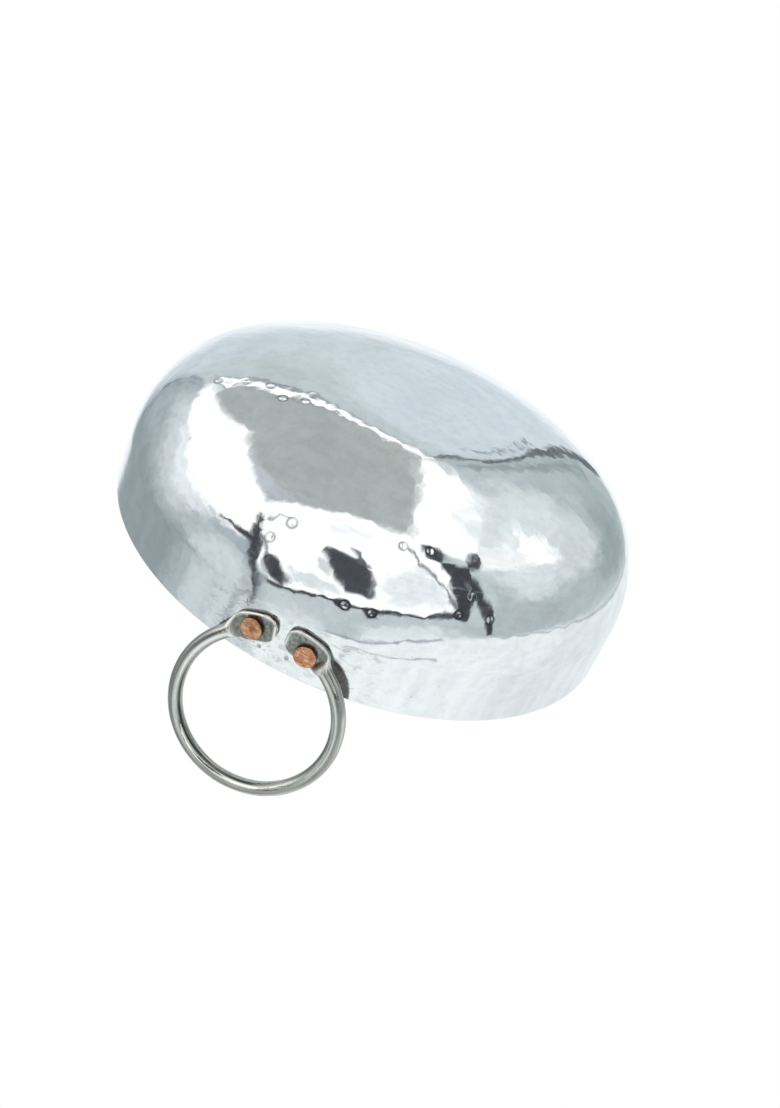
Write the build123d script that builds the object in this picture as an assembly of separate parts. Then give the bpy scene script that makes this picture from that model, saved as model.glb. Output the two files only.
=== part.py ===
from build123d import *
from math import asin, cos, degrees, radians, sin, sqrt, tan
import os

# Kadai: a round-bottomed cooking bowl of beaten sheet, with two open ring handles.
# Millimetres. +Z is up, through the bowl's mouth. Z = 0 is the surface that it stands on.
# The two handles face each other along X.

# Bowl. Its outer outline runs from the rim down to the flat spot in the middle of the sole.
# Each bend is an arc, and its sweep is the change of the surface's slope in degrees.
SHEET = 2.0
RIM_RADIUS = 120.0
RIM_ROUNDING = 0.6
BAND_HEIGHT = 25.3
BAND_FLARE_ANGLE = 0.8
CREASE_RADIUS = 12.0
CREASE_SWEEP_ANGLE = 5.2
SHOULDER_RADIUS = 56.5
SHOULDER_SWEEP_ANGLE = 24.0
HAUNCH_RADIUS = 43.3
HAUNCH_SWEEP_ANGLE = 30.0
SOLE_RADIUS = 125.0

# Ring handles: a round rod bent to an open ring that leans out from the wall.
ROD_DIAMETER = 6.1
RING_RADIUS = 34.1
RING_LEAN_ANGLE = 10.6
RING_SIDE_SHIFT = 2.6

# Tabs: the rod's ends, beaten flat against the wall. A tab's middle line passes below its rivet,
# and its free end and its neck are measured along that line from the rivet.
TAB_THICKNESS = 2.6
TAB_WIDTH = 12.2
TAB_SINK = 1.3
TAB_END_LENGTH = 9.8
NECK_DISTANCE = 11.6
NECK_LENGTH = 5.4
NECK_WIDTH = 10.4

# Rivets, one through each tab.
RIVET_DROP = 14.4
RIVET_PITCH = 23.0
SHANK_DIAMETER = 5.0
HEAD_DIAMETER = 9.5
HEAD_HEIGHT = 1.5
HEAD_ROUNDING = 0.5
INNER_HEAD_DIAMETER = 8.5
INNER_HEAD_HEIGHT = 1.1

# Clearances: between curved faces that are clinched together, and round a shank in its holes.
SEAT_GAP = 0.1
SHANK_GAP = 0.1

# Length of a cutter on a rivet's axis: well past the tab and the sheet on both sides.
RIVET_REACH = 6 * (SHEET + TAB_THICKNESS)

HANDLE_SIDES = {"right_handle": 0, "left_handle": 180}


def outward(slope):
    """Outward direction, as radius and height, where the surface has this slope in degrees."""
    return sin(radians(slope)), -cos(radians(slope))


def bend_list():
    """The bends from the rim down to the flat spot: radius, slope above and slope below."""
    slope = 90 - BAND_FLARE_ANGLE
    bends = []
    for radius, sweep in (
        (CREASE_RADIUS, CREASE_SWEEP_ANGLE),
        (SHOULDER_RADIUS, SHOULDER_SWEEP_ANGLE),
        (HAUNCH_RADIUS, HAUNCH_SWEEP_ANGLE),
    ):
        bends.append((radius, slope, slope - sweep))
        slope -= sweep
    bends.append((SOLE_RADIUS, slope, 0.0))
    return bends


def bowl_height():
    """Height of the rim above the flat spot."""
    height = BAND_HEIGHT
    for radius, above, below in bend_list():
        height += radius * (cos(radians(below)) - cos(radians(above)))
    return height


HEIGHT = bowl_height()
RIVET_Z = HEIGHT - RIVET_DROP
RING_CENTRE_Z = RIVET_Z - TAB_SINK + sqrt(RING_RADIUS**2 - (RIVET_PITCH / 2) ** 2)


def band_radius(z, offset=0.0):
    """Radius of the upright band at this height, this far out from its outer face."""
    flare = radians(BAND_FLARE_ANGLE)
    return RIM_RADIUS - (HEIGHT - z) * tan(flare) + offset / cos(flare)


def filled_bowl(offset):
    """The space inside the bowl's outer face, moved out by this much, as one solid."""
    joint_r = band_radius(HEIGHT - BAND_HEIGHT)
    joint_z = HEIGHT - BAND_HEIGHT
    out_r, out_z = outward(90 - BAND_FLARE_ANGLE)
    rim = (band_radius(HEIGHT, offset), 0, HEIGHT)
    band_foot = (joint_r + offset * out_r, 0, joint_z + offset * out_z)
    edges = [Line((0, 0, HEIGHT), rim), Line(rim, band_foot)]
    for radius, above, below in bend_list():
        out_r, out_z = outward(above)
        centre_r = joint_r - radius * out_r
        centre_z = joint_z - radius * out_z
        points = []
        for slope in (above, (above + below) / 2, below):
            out_r, out_z = outward(slope)
            reach = radius + offset
            points.append((centre_r + reach * out_r, 0, centre_z + reach * out_z))
        edges.append(ThreePointArc(*points))
        joint_r = centre_r + radius * out_r
        joint_z = centre_z + radius * out_z
    sole = (0, 0, points[-1][2])
    edges.append(Line(points[-1], sole))
    edges.append(Line(sole, (0, 0, HEIGHT)))
    return revolve(Face(Wire(edges)), Axis.Z, 360)


def rivet_places():
    """The Y of each rivet of the handle at +X, where its axis meets the wall."""
    return (-RIVET_PITCH / 2, RIVET_PITCH / 2)


def rivet_plane(y):
    """A plane on the rivet's axis, square to it, where the axis meets the wall's outer face."""
    reach = band_radius(RIVET_Z)
    x = sqrt(reach**2 - y**2)
    return Plane(origin=(x, y, RIVET_Z), x_dir=(0, 0, 1), z_dir=(x, y, 0))


def rivet_hole(y):
    """The hole for one shank, through the tab and the wall."""
    return rivet_plane(y) * Cylinder(SHANK_DIAMETER / 2 + SHANK_GAP, RIVET_REACH)


def ring_frame():
    """Centre of the ring at +X, and its upward direction along the leaning ring."""
    lean = radians(RING_LEAN_ANGLE)
    start = band_radius(RIVET_Z) + SEAT_GAP + TAB_THICKNESS / 2
    centre_x = start + (RING_CENTRE_Z - RIVET_Z) * tan(lean)
    centre = Vector(centre_x, -RING_SIDE_SHIFT, RING_CENTRE_Z)
    return centre, Vector(sin(lean), 0, cos(lean))


def ring_angle(y):
    """Angle round the ring, from its lowest point, of the place on its circle at this Y."""
    return degrees(asin((y + RING_SIDE_SHIFT) / RING_RADIUS))


def arc_degrees(length):
    """Angle that this length takes along the ring's rod."""
    return degrees(length / RING_RADIUS)


def rod_plane(angle):
    """A plane square to the rod at this angle round the ring, with X pointing to the centre."""
    centre, rise = ring_frame()
    turn = radians(angle)
    spoke = Vector(0, sin(turn), 0) - rise * cos(turn)
    along = Vector(0, cos(turn), 0) + rise * sin(turn)
    return Plane(origin=centre + spoke * RING_RADIUS, x_dir=-spoke, z_dir=along)


def tab_plane(angle):
    """A plane square to the flat tab at this angle round the ring, centred in its thickness."""
    turn = radians(angle)
    y = RING_RADIUS * sin(turn) - RING_SIDE_SHIFT
    z = RING_CENTRE_Z - RING_RADIUS * cos(turn)
    reach = band_radius(z, SEAT_GAP + TAB_THICKNESS / 2)
    x = sqrt(reach**2 - y**2)
    normal = Vector(x, y, 0).normalized()
    side = Vector(0, 0, 1).cross(normal)
    across = side * -sin(turn) + Vector(0, 0, 1) * cos(turn)
    return Plane(origin=(x, y, z), x_dir=across, z_dir=across.cross(normal))


def rod_arc(start, end):
    """The round rod between two angles round the ring."""
    centre, rise = ring_frame()
    axis = Axis(centre, Vector(0, 1, 0).cross(rise))
    section = rod_plane(start) * Circle(ROD_DIAMETER / 2)
    return revolve(section, axis, end - start)


def neck(rod_angle, tab_angle):
    """The stretch where the round rod turns to the flat tab."""
    round_end = rod_plane(rod_angle) * Circle(ROD_DIAMETER / 2)
    flat_end = tab_plane(tab_angle) * Ellipse(NECK_WIDTH / 2, TAB_THICKNESS / 2)
    return loft([round_end, flat_end])


def tab(free_angle, root_angle):
    """A flat tab with a rounded free end, curved to the wall that it lies on."""
    centre = (-RING_SIDE_SHIFT, RING_CENTRE_Z)
    start = min(free_angle, root_angle) - 90
    size = abs(root_angle - free_angle)
    path = CenterArc(centre, RING_RADIUS, start, size)
    face = Plane.YZ * SlotArc(path, TAB_WIDTH)
    prism = extrude(face, amount=2 * RIM_RADIUS)
    skin = filled_bowl(SEAT_GAP + TAB_THICKNESS) - filled_bowl(SEAT_GAP)
    return prism & skin


def handle():
    """The ring handle at +X: an open ring of rod with a necked and flattened tab at each end."""
    rod_ends = []
    pieces = []
    for y in rivet_places():
        side = 1 if y > 0 else -1
        middle = ring_angle(y)
        free_angle = middle - side * arc_degrees(TAB_END_LENGTH - TAB_WIDTH / 2)
        rod_angle = middle + side * arc_degrees(NECK_DISTANCE)
        flat_angle = middle + side * arc_degrees(NECK_DISTANCE - NECK_LENGTH)
        pieces.append(tab(free_angle, flat_angle))
        pieces.append(neck(rod_angle, flat_angle))
        rod_ends.append(rod_angle)
    body = rod_arc(rod_ends[1], rod_ends[0] + 360)
    for piece in pieces:
        body += piece
    body -= filled_bowl(SEAT_GAP)
    for y in rivet_places():
        body -= rivet_hole(y)
    return body


def outer_head(plane, underside):
    """The flat beaten head outside, seated on the tab this far out from the wall."""
    top = underside + HEAD_HEIGHT
    low_end = (Align.CENTER, Align.CENTER, Align.MAX)
    head = Pos(0, 0, top) * Cylinder(HEAD_DIAMETER / 2, top, align=low_end)
    head = fillet(head.edges().group_by(Axis.Z)[-1], HEAD_ROUNDING)
    return plane * head - filled_bowl(underside)


def inner_head(plane, underside):
    """The low head inside, curved to the sheet's inner face that it is clinched to."""
    skin = filled_bowl(underside) - filled_bowl(underside - INNER_HEAD_HEIGHT)
    return plane * Cylinder(INNER_HEAD_DIAMETER / 2, RIVET_REACH) & skin


def rivet(y):
    """One rivet of the handle at +X: a head on the tab, a shank and a head inside the bowl."""
    plane = rivet_plane(y)
    outer_seat = SEAT_GAP + TAB_THICKNESS + SEAT_GAP
    inner_seat = -SHEET - SEAT_GAP
    start = inner_seat - INNER_HEAD_HEIGHT / 2
    end = outer_seat + HEAD_HEIGHT / 2
    shank = Pos(0, 0, (start + end) / 2) * Cylinder(SHANK_DIAMETER / 2, end - start)
    return outer_head(plane, outer_seat) + plane * shank + inner_head(plane, inner_seat)


def bowl():
    """The bowl of sheet, with a rounded rim edge and the rivets' holes."""
    body = filled_bowl(0.0) - filled_bowl(-SHEET)
    rim_edges = body.edges().group_by(Axis.Z)[-1]
    body = fillet(rim_edges, RIM_ROUNDING)
    for turn in HANDLE_SIDES.values():
        for y in rivet_places():
            body -= Rot(0, 0, turn) * rivet_hole(y)
    return body


def main():
    """Write one STEP file for each piece."""
    os.makedirs("parts", exist_ok=True)
    pieces = {"bowl": bowl()}
    ring = handle()
    for name, turn in HANDLE_SIDES.items():
        pieces[name] = Rot(0, 0, turn) * ring
        for number, y in enumerate(rivet_places(), start=1):
            pieces[f"{name}_rivet_{number}"] = Rot(0, 0, turn) * rivet(y)
    for name, piece in pieces.items():
        export_step(piece, f"parts/{name}.step")


main()
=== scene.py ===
import math
import random

import bmesh
import bpy
import numpy as np
from mathutils import Matrix, Vector, noise


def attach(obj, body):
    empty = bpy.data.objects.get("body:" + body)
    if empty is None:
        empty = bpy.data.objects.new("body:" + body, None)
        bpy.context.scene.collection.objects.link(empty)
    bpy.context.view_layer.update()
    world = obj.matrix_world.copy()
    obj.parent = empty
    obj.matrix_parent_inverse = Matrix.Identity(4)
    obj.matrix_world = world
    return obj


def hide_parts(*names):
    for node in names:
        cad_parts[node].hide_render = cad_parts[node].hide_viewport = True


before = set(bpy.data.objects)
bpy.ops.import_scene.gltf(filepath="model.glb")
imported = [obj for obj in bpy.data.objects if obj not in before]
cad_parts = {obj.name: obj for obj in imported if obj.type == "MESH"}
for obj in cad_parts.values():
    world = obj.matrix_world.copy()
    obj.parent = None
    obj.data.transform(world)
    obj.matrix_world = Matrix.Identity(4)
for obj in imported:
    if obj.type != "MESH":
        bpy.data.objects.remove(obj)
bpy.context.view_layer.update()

# Kadai: a round-bottomed bowl of hand-beaten sheet, with two ring handles on copper rivets.
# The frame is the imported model's: metres, +Z up through the mouth, handles facing each other along X.

MM = 0.001

# Bowl outline, in millimetres and degrees of slope, from the flat spot up to the band.
SHEET = 2.0
RIM_RADIUS = 120.0
RIM_ROUNDING = 0.6
BAND_HEIGHT = 25.3
FLARE = math.radians(0.8)
BENDS = ((125.0, 0.0, 30.0), (43.3, 30.0, 60.0), (56.5, 60.0, 84.0), (12.0, 84.0, 89.2))
FLAT_RADIUS = RIM_RADIUS - BAND_HEIGHT * math.tan(FLARE) - sum(
    radius * (math.sin(math.radians(high)) - math.sin(math.radians(low)))
    for radius, low, high in BENDS
)
HEIGHT = BAND_HEIGHT + sum(
    radius * (math.cos(math.radians(low)) - math.cos(math.radians(high)))
    for radius, low, high in BENDS
)

# Ring handles and rivets.
ROD_RADIUS = 3.05
RING_RADIUS = 34.1
RING_LEAN = math.radians(10.6)
RING_SHIFT = 2.6
TAB_THICKNESS = 2.6
TAB_WIDTH = 12.2
TAB_SINK = 1.3
TAB_END = 9.8
SEAT_GAP = 0.1
RIVET_PITCH = 23.0
RIVET_Z = HEIGHT - 14.4
HEAD_RADIUS = 4.75
HEAD_HEIGHT = 1.5
INNER_HEAD_RADIUS = 4.25
INNER_HEAD_HEIGHT = 1.1
SHANK_RADIUS = 2.5
RING_Z = RIVET_Z - TAB_SINK + math.sqrt(RING_RADIUS**2 - (RIVET_PITCH / 2) ** 2)

# Meshes of the dressed pieces: spacing along the sheet in millimetres, then counts of points.
OUTER_STEP = 1.35
INNER_STEP = 2.8
ROD_SIDES = 40
ROD_STEPS = 260
ROUND_STEPS = 9
RIVET_SIDES = 64

# Beaten tabs and heads: depth of a tab's floor, shade round a head, power of the curve of a tab's
# end, rounding of a head's edge, and rise from there to its middle.
TAB_DISH = 0.45
SEAM_SHADE = 0.45
END_POWER = 2.3
HEAD_ROUNDING = 0.6
HEAD_CROWN = 0.1

# Hammer blows, in millimetres: from ring to ring, along a ring, drift off the ring, reach and depth.
BLOW_RINGS = 8.0
BLOW_PITCH = 8.6
BLOW_DRIFT = 2.6
BLOW_SIZES = (6.2, 8.6)
BLOW_DEPTHS = (0.07, 0.17)
# How sharply one blow's hollow meets the next.
BLOW_BLEND = 60.0

# Light that falls on rough things from all round, and the strength of the lamp.
EVEN_LIGHT = 0.74
LAMP_LIGHT = 0.75
# A share too small to see.
TRACE = 1e-9


# ---------------------------------------------------------------- camera

camera_data = bpy.data.cameras.new("photo_camera")
camera_data.sensor_width = 36.0
camera_data.lens = 40.94
camera_data.clip_start = 0.02
camera = bpy.data.objects.new("photo_camera", camera_data)
bpy.context.scene.collection.objects.link(camera)
# Fitted to the photograph. It looks up through the floor, which is clear from below.
CAMERA_RIGHT = Vector((-0.306507, -0.883895, -0.353246))
CAMERA_UP = Vector((-0.414529, 0.458018, -0.786375))
CAMERA_BACK = Vector((0.856866, -0.094599, -0.506786))
CAMERA_PLACE = Vector((0.512904, -0.068690, -0.222574))
turn = Matrix((CAMERA_RIGHT, CAMERA_UP, CAMERA_BACK)).transposed()
camera.matrix_world = Matrix.Translation(CAMERA_PLACE) @ turn.to_4x4()
bpy.context.scene.camera = camera


# ---------------------------------------------------------------- shapes

def smooth(t):
    """Smooth step from 0 to 1."""
    t = np.clip(t, 0.0, 1.0)
    return t * t * (3 - 2 * t)


def outline(s):
    """Radius, height and slope of the bowl's outer face, this far out from its centre along it."""
    s = np.asarray(s, float)
    r = np.minimum(s, FLAT_RADIUS)
    z = np.zeros_like(s)
    slope = np.zeros_like(s)
    start = FLAT_RADIUS
    for radius, low, high in BENDS:
        low = math.radians(low)
        high = math.radians(high)
        run = np.clip(s - start, 0.0, radius * (high - low))
        angle = low + run / radius
        r = r + radius * (np.sin(angle) - math.sin(low))
        z = z + radius * (math.cos(low) - np.cos(angle))
        slope = np.where(s > start, angle, slope)
        start += radius * (high - low)
    run = np.clip(s - start, 0.0, None)
    return r + run * math.sin(FLARE), z + run * math.cos(FLARE), slope


BAND_START = FLAT_RADIUS + sum(
    radius * math.radians(high - low) for radius, low, high in BENDS
)
RIM_S = BAND_START + BAND_HEIGHT / math.cos(FLARE)


def noise_at(points, size, seed):
    """Smooth noise between about -1 and 1 at each point, with features of this size."""
    shift = Vector((seed * 17.31, seed * 5.77, seed * 9.13))
    return np.array([noise.noise(Vector(p) / size + shift) for p in points])


def hammer_blows():
    """Places, sizes and depths of the planishing blows, laid in rings as the smith turns the bowl."""
    chance = random.Random(41)
    places = []
    s = 3.0
    while s < RIM_S:
        r = float(outline(s)[0])
        count = max(3, round(2 * math.pi * r / BLOW_PITCH))
        offset = chance.random()
        for k in range(count):
            blow_s = s + chance.uniform(-BLOW_DRIFT, BLOW_DRIFT)
            angle = 2 * math.pi * (k + offset + chance.uniform(-0.3, 0.3)) / count
            br, bz, _ = (float(x) for x in outline(min(max(blow_s, 0.0), RIM_S)))
            size = chance.uniform(*BLOW_SIZES)
            depth = chance.uniform(*BLOW_DEPTHS)
            places.append((br * math.cos(angle), br * math.sin(angle), bz, size, depth))
        s += BLOW_RINGS
    return np.array(places)


def blow_depth(points, blows):
    """How deep the overlapping blows have set the face back at each point, in millimetres."""
    depth = np.zeros(len(points))
    for first in range(0, len(points), 4096):
        some = points[first:first + 4096]
        square = ((some[:, None, :] - blows[None, :, :3]) ** 2).sum(axis=2)
        each = blows[None, :, 4] * (1 - square / blows[None, :, 3] ** 2)
        each = np.where(each > 0, each, 0)
        total = np.exp(BLOW_BLEND * each).sum(axis=1) - len(blows) + 1
        depth[first:first + 4096] = np.log(total) / BLOW_BLEND
    return depth


def seat_mask(points):
    """0 where the tabs lie on the wall, within 33 mm of a ring's middle, and 1 away from them."""
    x, y, z = points[:, 0], points[:, 1], points[:, 2]
    away = smooth((np.abs(y + RING_SHIFT * np.sign(x)) - 33.0) / 9.0)
    below = smooth((RIVET_Z - 8.0 - z) / 8.0)
    return np.maximum(away, below)


def rim_wave(angle):
    """How far the hand-filed rim dips below its full height, in millimetres."""
    wave = 0.5 + 0.5 * np.sin(5 * angle + 0.8) * np.sin(3 * angle + 2.0)
    fine = 0.5 + 0.5 * np.sin(23 * angle + 1.0) * np.sin(17 * angle)
    return 0.22 * wave + 0.10 * fine


def new_mesh(name, points, faces):
    """A smooth mesh object from points in metres, with its normals pointing out."""
    mesh = bpy.data.meshes.new(name)
    mesh.from_pydata([tuple(p) for p in points], [], faces)
    shape = bmesh.new()
    shape.from_mesh(mesh)
    bmesh.ops.recalc_face_normals(shape, faces=shape.faces)
    shape.to_mesh(mesh)
    shape.free()
    mesh.polygons.foreach_set("use_smooth", [True] * len(mesh.polygons))
    piece = bpy.data.objects.new(name, mesh)
    bpy.context.scene.collection.objects.link(piece)
    return piece


def stitch(rows):
    """Faces between rings of points. A ring may have as many, half or twice the points of the last."""
    faces = []
    starts = []
    total = 0
    for row in rows:
        starts.append(total)
        total += row
    for a, b, na, nb in zip(starts, starts[1:], rows, rows[1:]):
        if na == 1:
            faces += [(a, b + k, b + (k + 1) % nb) for k in range(nb)]
        elif nb == 1:
            faces += [(a + k, b, a + (k + 1) % na) for k in range(na)]
        elif na == nb:
            faces += [(a + k, b + k, b + (k + 1) % nb, a + (k + 1) % na) for k in range(na)]
        elif nb == 2 * na:
            for k in range(na):
                faces.append((a + k, b + 2 * k, b + 2 * k + 1))
                faces.append((a + k, b + 2 * k + 1, a + (k + 1) % na))
                faces.append((a + (k + 1) % na, b + 2 * k + 1, b + (2 * k + 2) % nb))
        else:
            for k in range(nb):
                faces.append((b + k, a + 2 * k + 1, a + 2 * k))
                faces.append((b + k, b + (k + 1) % nb, a + 2 * k + 1))
                faces.append((b + (k + 1) % nb, a + (2 * k + 2) % na, a + 2 * k + 1))
    return faces


def columns(r):
    """How many points go round the bowl at this radius."""
    return 144 if r < 18 else 288 if r < 48 else 576


def sheet_rows():
    """Rings of the bowl, from its sole round the rim to its inside, and the number of the first inside.

    Each ring is its distance out along the outer face and its depth in the sheet.
    """
    edge_s = RIM_S - RIM_ROUNDING
    outer_s = list(np.arange(OUTER_STEP, edge_s, OUTER_STEP)) + [edge_s]
    inner_s = [edge_s] + list(np.arange(INNER_STEP, RIM_S - SHEET, INNER_STEP))[::-1]
    rounding = []
    for k in range(1, 4):
        bend = math.pi / 2 * k / 4
        into = RIM_ROUNDING * (1 - math.cos(bend))
        rounding.append((RIM_S - RIM_ROUNDING * (1 - math.sin(bend)), into))
    rows = [(s, 0.0) for s in outer_s] + rounding
    rows += [(RIM_S, RIM_ROUNDING), (RIM_S, SHEET / 2), (RIM_S, SHEET - RIM_ROUNDING)]
    rows += [(s, SHEET - into) for s, into in rounding[::-1]]
    return rows + [(s, SHEET) for s in inner_s], len(rows)


def beaten_bowl():
    """The bowl of sheet, beaten inside and out, with a filed rim."""
    rows, first_inner = sheet_rows()
    rings = []
    counts = [1]
    for s, into in rows:
        r, z, slope = (float(x) for x in outline(s))
        count = columns(r)
        counts.append(count)
        angle = 2 * math.pi * np.arange(count) / count
        out = np.stack([np.cos(angle), np.sin(angle)], axis=1)
        face = np.stack([r * out[:, 0], r * out[:, 1], np.full(count, z)], axis=1)
        normal = np.stack([
            math.sin(slope) * out[:, 0], math.sin(slope) * out[:, 1], np.full(count, -math.cos(slope))
        ], axis=1)
        rings.append((face, normal, np.full(count, into), np.full(count, s), angle))
    face, normal, into, s, angle = (np.concatenate(column) for column in zip(*rings))
    # The bend between sole and wall is beaten most deeply, the sole and the band least.
    strength = 0.13 + 0.37 * smooth((s - 46) / 14) - 0.26 * smooth((s - 88) / 12)
    strength += 0.24 * smooth((s - 114) / 10) - 0.30 * smooth((s - BAND_START + 4) / 8)
    blows = blow_depth(face, hammer_blows())
    waves = 0.5 + 0.5 * noise_at(face, 34.0, 1) + 0.16 * noise_at(face, 15.0, 2)
    calm = seat_mask(face)
    depth = strength * (blows + 0.16 * np.clip(waves, 0, 1.3)) * calm
    points = face - normal * (into + depth)[:, None]
    points[:, 2] -= rim_wave(angle) * smooth((s - RIM_S + 8.0) / 8.0)
    points[:, 2] = np.where(into == 0, np.maximum(points[:, 2], 0.0), points[:, 2])
    centre_out = np.array([[0.0, 0.0, 0.05]])
    centre_in = np.array([[0.0, 0.0, SHEET + 0.05]])
    points = np.concatenate([centre_out, points, centre_in]) * MM
    counts.append(1)
    piece = new_mesh("beaten_bowl", points, stitch(counts))
    inner_from = 1 + sum(counts[1:1 + first_inner])
    lowest = np.array([min(p.vertices) for p in piece.data.polygons])
    piece.data.polygons.foreach_set("material_index", (lowest >= inner_from).astype(np.int32))
    attribute = piece.data.attributes.new("beaten", "FLOAT", "POINT")
    attribute.data.foreach_set("value", [1.0] + [0.12 + 0.88 * float(c) for c in calm] + [1.0])
    return piece


def band_radius(z):
    """Radius of the upright band's outer face at this height."""
    return RIM_RADIUS - (HEIGHT - z) * math.tan(FLARE)


def ring_angle(y):
    """Angle round the ring, from its lowest point, of the place on its circle at this Y."""
    return math.asin((y + RING_SHIFT) / RING_RADIUS)


def rod_lines(degrees, section, flat):
    """Strength of the painted dark reflection lines and painted highlight on the rod, at this place on
    ring and section.
    """
    inner = math.exp(-(((section - 38.0) / 14.0) ** 2)) * (1 - flat)
    inner *= 0.35 + 0.65 * float(smooth((degrees - 70) / 30)) * float(smooth((232 - degrees) / 40))
    inner = max(inner, 0.55 * math.exp(-(((section - 108.0) / 15.0) ** 2)) * (1 - flat))
    crest = float(np.interp(degrees, (60, 90, 120, 180, 225, 270), (80, 72, 80, 57, 66, 90)))
    painted_highlight = 0.9 * math.exp(-(((section - crest) / 13.0) ** 2)) * (1 - flat)
    return inner, painted_highlight


def ring_handle():
    """The ring handle at +X: a round rod whose ends are beaten to flat rounded tabs on the wall.

    Returns its points, its faces, and for each point its place along and round the rod and five
    shades: tab floor, painted shade on the back and round the heads, painted dark reflection line,
    painted highlight, and neck.
    """
    start = band_radius(RIVET_Z) + SEAT_GAP + TAB_THICKNESS / 2
    centre = Vector((start + (RING_Z - RIVET_Z) * math.tan(RING_LEAN), -RING_SHIFT, RING_Z))
    rise = Vector((math.sin(RING_LEAN), 0, math.cos(RING_LEAN)))
    out = Vector((math.cos(RING_LEAN), 0, -math.sin(RING_LEAN)))
    rivets = (ring_angle(RIVET_PITCH / 2), ring_angle(-RIVET_PITCH / 2) + 2 * math.pi)
    free = (rivets[0] - TAB_END / RING_RADIUS, rivets[1] + TAB_END / RING_RADIUS)
    round_end = TAB_WIDTH / 2 / RING_RADIUS
    tips = [round_end * (1 - math.cos(math.pi / 2 * k / ROUND_STEPS)) for k in range(1, ROUND_STEPS)]
    angles = [free[0] + tip for tip in tips]
    angles += list(np.linspace(free[0] + round_end, free[1] - round_end, ROD_STEPS))
    angles += [free[1] - tip for tip in tips[::-1]]
    points = []
    counts = []
    lay = []

    def place(angle, across, height, half_thick, on_wall):
        """A point of the handle, this far across the rod towards the ring's middle and this far out."""
        spoke = Vector((0, math.sin(angle), 0)) - rise * math.cos(angle)
        round_place = centre + spoke * (RING_RADIUS - across) + out * height
        y = (RING_RADIUS - across) * math.sin(angle) - RING_SHIFT
        z = RING_Z - (RING_RADIUS - across) * math.cos(angle)
        reach = band_radius(z) + SEAT_GAP + half_thick + height
        flat_place = Vector((math.sqrt(reach**2 - y**2), y, z))
        return round_place.lerp(flat_place, on_wall), Vector((0, y, z))

    def end_cap(angle):
        """The single point that closes an end."""
        points.append(place(angle, 0.0, 0.0, TAB_THICKNESS / 2, 1.0)[0])
        counts.append(1)
        lay.append((angle, 0.0, 0.0, 0.0, 0.0, 0.0, 0.0))

    end_cap(free[0])
    for angle in angles:
        past = min(angle - rivets[0], rivets[1] - angle) * RING_RADIUS
        to_end = min(angle - free[0], free[1] - angle) * RING_RADIUS
        flat = 1 - float(smooth((past - 6.3) / 3.6))
        half_width = ROD_RADIUS + (TAB_WIDTH / 2 - ROD_RADIUS) * (1 - float(smooth((past - 3.6) / 8.4)))
        half_thick = TAB_THICKNESS / 2 + (ROD_RADIUS - TAB_THICKNESS / 2) * (1 - flat)
        on_wall = 1 - float(smooth((past - 5.6) / 7.4))
        power = 2 + 3.0 * flat
        if to_end < TAB_WIDTH / 2:
            cut = (1 - to_end / (TAB_WIDTH / 2)) ** END_POWER
            half_width *= max(1 - cut, 0.0) ** (1 / END_POWER)
            edge = math.sqrt(max(1 - (1 - min(to_end / 0.9, 1.0)) ** 2, 0.0))
            half_thick *= 0.4 + 0.6 * edge
        for k in range(ROD_SIDES):
            turn_angle = 2 * math.pi * k / ROD_SIDES
            c, d = math.cos(turn_angle), math.sin(turn_angle)
            across = half_width * math.copysign(abs(c) ** (2 / power), c)
            height = half_thick * math.copysign(abs(d) ** (2 / power), d)
            inset = min(float(smooth((half_width - abs(across)) / 1.5)),
                        float(smooth((to_end - 0.6) / 1.5)))
            floor_part = flat * inset if height > 0 else 0.0
            height -= TAB_DISH * floor_part
            beaten_at = Vector((angle * 9.0, across * 0.28, height * 0.3)) + Vector((3.1, 7.7, 1.9))
            lumps_at = Vector((angle * 22.0, across * 0.5, height * 0.5)) + Vector((9.1, 2.7, 4.9))
            beaten = noise.noise(beaten_at)
            lumps = noise.noise(lumps_at)
            shrink = 0.10 * (0.3 + 0.7 * flat) * (0.5 + 0.5 * beaten) + 0.05 * (0.5 + 0.5 * lumps)
            size = max(math.hypot(across, height), 0.2)
            across -= across / size * shrink
            height -= height / size * shrink if height > 0 else 0.0
            point, over = place(angle, across, height, half_thick, on_wall)
            points.append(point)
            gap = math.hypot(abs(over.y) - RIVET_PITCH / 2, over.z - RIVET_Z)
            # Painted contact shadow on the tab round each rivet's head, and painted shade on the rod's
            # back by the wall.
            head_shadow = SEAM_SHADE * flat * float(smooth((5.45 - gap) / 0.7)) if height > 0 else 0.0
            behind = float(smooth((-d + 0.25) / 0.5)) * float(smooth((46.0 - past) / 12.0))
            # Painted dark reflection lines and a painted highlight along the rod.
            inner, painted_highlight = rod_lines(math.degrees(angle), math.degrees(turn_angle), flat)
            # Painted highlights on the neck, where the rod becomes a tab, and on the tab's rim; the neck
            # is also rougher.
            neck = 0.0
            if d > -0.2:
                neck = float(smooth((past - 6.0) / 1.2)) * (1 - float(smooth((past - 9.4) / 1.6)))
            rim_highlight = 0.9 * flat * (1 - inset) if d > 0.1 else 0.0
            lay.append((angle, k / ROD_SIDES, floor_part,
                        max(behind, head_shadow), inner, max(painted_highlight, neck, rim_highlight), neck))
        counts.append(ROD_SIDES)
    end_cap(free[1])
    return [p * MM for p in points], stitch(counts), lay


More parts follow.
